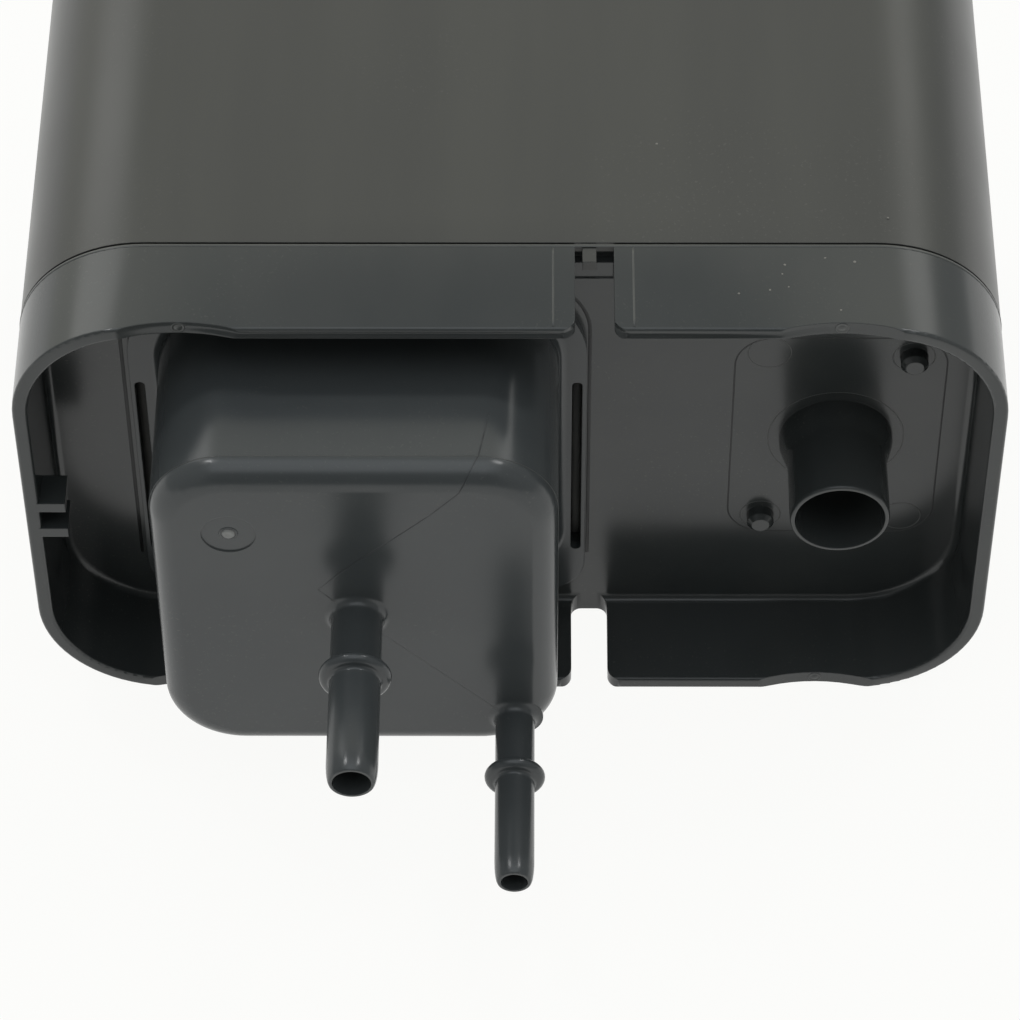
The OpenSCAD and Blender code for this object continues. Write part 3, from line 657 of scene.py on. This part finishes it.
path, out = rounded_path(FLANGE_W, FLANGE_H, FLANGE_R, FLANGE_AT, FLOOR_Y, PER_CORNER, PER_SIDE)
arch = np.roll(np.arange(len(path)), PER_SIDE)[:2 * PER_CORNER + 3 * PER_SIDE]
path, out = path[arch], out[arch]
path[[0, -1], 2] = FLANGE_FOOT
flange = on_floor(path, out, FLANGE_LINE_W, False)
mesh_piece("flange_painted_shadow_line", *flange, dirt_and_shadow_line, "cover_plastic")

# %% [markdown]
# ## Parting line round the dome
# The dome's side and its rounded edge come from two halves of a tool, which meet where the rounding
# starts. A hair of plastic stays there and catches the light all the way round. Its path is the
# dome's own rounded rectangle, and its half-round profile stands out from the side.

# %% Line at the start of the rounded edge
DOME_X, DOME_W, DOME_H, DOME_CORNER_R = -38 * MM, 100 * MM, 108 * MM, 20 * MM
SPLIT_W = 0.3 * MM

dome_centre = (DOME_X, DOME_TOP * MM - DOME_H / 2)
path, out = rounded_path(DOME_W, DOME_H, DOME_CORNER_R, dome_centre, EDGE_Y * MM)
split = carried(path, ALONG_Y, out, half_round(SPLIT_W, LINE_RISE), True)
mesh_piece("dome_parting_line", *split, highlight_line_plastic, "dome_plastic")

# %% [markdown]
# ## Parting lines beside the notch
# A sliding block forms the upper notch, and its two edges show as straight lines on the skirt's top
# from the seam to the rim. Each is the same half-round profile, carried along a straight path.

# %% Two straight lines
SLIDE_X, SLIDE_FROM, SLIDE_TO, SLIDE_LINE_W = (10.6, 30.2), -11.9, -38.1, 0.5 * MM


def straight(start, end, side, up, width, rise, steps=12):
    """A raised line from start to end, with capped ends."""
    path = np.linspace(np.array(start) * MM, np.array(end) * MM, steps)
    return carried(path, side, up, half_round(width, rise), False)


ends = [((x, SLIDE_FROM, TOP), (x, SLIDE_TO, TOP)) for x in SLIDE_X]
edges = [straight(seam, rim, X_AXIS, Z_AXIS, SLIDE_LINE_W, LINE_RISE) for seam, rim in ends]
mesh_piece("notch_parting_lines", *joined(edges), highlight_line_plastic, "cover_plastic")

# %% [markdown]
# ## Painted shade in the slots
# The two long slots beside the dome are deep and catch the light nowhere, and their dim grey is
# painted shade. A dark colour on the whole groove would have no edge, so the painted shade is a low
# bank of its own on the bottom of each groove, as wide as the groove and matt.

# %% Two banks of painted shade
SLOT_X, SLOT_LOW, SLOT_HIGH, GROOVE_Y = (-93.9, 16.9), 29.9, 93.5, -9.5
BANK_W, BANK_RISE = 2.5 * MM, 0.6 * MM

# Painted shade: the banks' matt grey sets how dim the deep grooves look.
slot_shade_finish = satin_plastic("slot_painted_shade", (0.060, 0.062, 0.060, 1), (0.085, 0.085, 0.078, 1), 0.7,
                      (1, 1, 1), (0.5, 0, 0), edge=0)
ends = [((x, GROOVE_Y, SLOT_LOW), (x, GROOVE_Y, SLOT_HIGH)) for x in SLOT_X]
banks = [straight(low, high, X_AXIS, -ALONG_Y, BANK_W, BANK_RISE) for low, high in ends]
mesh_piece("slot_painted_shade_banks", *joined(banks), slot_shade_finish, "cover_plastic")

# %% [markdown]
# ## Gate marks
# Hot plastic came in through a gate, and where the gate broke off there is a small round scar. The
# four scallops in the rim each have one, and so does the dished circle on the dome. A scar is a
# shape turned about an axis: a ring with a dot in its middle. One profile of radius and height is
# turned about the axis that points out of the port end. On the dome the torn nub in the ring is
# paler than the skin, so it is a piece of its own.

# %% Scars turned about an axis
def turned(centre, radius, height, up, side, steps=40):
    """Point (i, j) = centre + radius_i towards angle_j + height_i along up; side is angle 0."""
    turn = np.linspace(0, 2 * np.pi, steps, endpoint=False)[:, None]
    ring = np.cos(turn) * side + np.sin(turn) * np.cross(up, side)
    points = np.array(centre) * MM + np.array(radius)[:, None, None] * MM * ring[None]
    points = points + up * np.array(height)[:, None, None] * MM
    i, j = np.arange(len(radius) - 1)[:, None], np.arange(steps)[None, :]
    quads = np.stack([i * steps + j, i * steps + (j + 1) % steps, (i + 1) * steps + (j + 1) % steps,
                      (i + 1) * steps + j], axis=-1).reshape(-1, 4)
    last = (len(radius) - 1) * steps
    return points.reshape(-1, 3), quads, [list(range(steps))[::-1], list(range(last, last + steps))]


GATE_X, GATE_Y, GATE_IN = (-80.2, 80.5), -36.7, 1.9
scar_r = [1.75, 1.75, 1.6, 1.4, 1.25, 0.9, 0.75, 0.4, 0.1]
scar_h = [-0.1, 0.05, 0.14, 0.14, 0.05, 0.04, 0.12, 0.2, 0.22]
gates = [(x, GATE_Y, z) for x in GATE_X for z in (TOP - GATE_IN, GATE_IN)]
scars = [turned(gate, scar_r, scar_h, -ALONG_Y, X_AXIS) for gate in gates]
mesh_piece("rim_gate_scars", *joined(scars), highlight_line_plastic, "cover_plastic")

# %% Ring and torn nub on the dome
DISH_DEPTH = 0.35
DOME_GATE = (-68.4, FACE_Y + DISH_DEPTH, 103)
ring_r, ring_h = [2.4, 2.4, 2.25, 2.0, 1.85, 1.0], [-0.05, 0.05, 0.14, 0.14, 0.03, 0.02]
nub_r, nub_h = [1.7, 1.55, 1.3, 1.0, 0.7, 0.45, 0.1], [0.0, 0.25, 0.5, 0.55, 0.48, 0.4, 0.38]
torn_plastic = satin_plastic("torn_plastic", (0.20, 0.202, 0.196, 1), (0.30, 0.30, 0.29, 1), 0.4,
                             (1, 1, 1), (0.2, 0, 0), edge=0)
scar = turned(DOME_GATE, ring_r, ring_h, -ALONG_Y, X_AXIS)
mesh_piece("dome_gate_scar", *scar, dome_plastic, "dome_plastic")
nub = turned(DOME_GATE, nub_r, nub_h, -ALONG_Y, X_AXIS)
mesh_piece("dome_gate_nub", *nub, torn_plastic, "dome_plastic")

# %% [markdown]
# ## Dust
# A few pale specks lie on the skirt and the body, about half a millimetre across. Scattering them
# with a particle system would put them anywhere. These lie where they were seen, each a flat mound
# with its own size, turned about the vertical from one profile.

# %% Specks on the upper side
SPECKS = [(67.2, -17.7, 0.35), (77.1, -15.4, 0.3), (84.3, -16.7, 0.4), (63.3, -26.0, 0.3),
          (66.5, -20.7, 0.25), (67.9, -25.0, 0.25), (55.7, -27.2, 0.3), (80.3, -32.6, 0.3),
          (93.1, -1.9, 0.3), (36.6, 23.5, 0.35)]
SPECK_STEPS, SPECK_NOISE_PER_METRE = 12, 2500
speck_r, speck_h = np.array([1.0, 0.95, 0.75, 0.4, 0.1]), np.array([-0.2, 0.08, 0.2, 0.3, 0.33])


def pale_dust():
    """Fine noise between grey and straw, fully matt."""
    finish, tree = new_finish("pale_dust")
    at = add(tree, "ShaderNodeTexCoord").outputs["Object"]
    colour = mix(tree, noise(tree, at, SPECK_NOISE_PER_METRE, 2), DUST, (0.30, 0.29, 0.26, 1))
    body = add(tree, "ShaderNodeBsdfPrincipled", Base_Color=colour, Roughness=0.9)
    add(tree, "ShaderNodeOutputMaterial", Surface=body.outputs[0])
    return finish


specks = [turned((x, y, TOP), speck_r * size, speck_h * size, Z_AXIS, X_AXIS, SPECK_STEPS)
          for x, y, size in SPECKS]
mesh_piece("dust_specks", *joined(specks), pale_dust(), "cover_plastic")
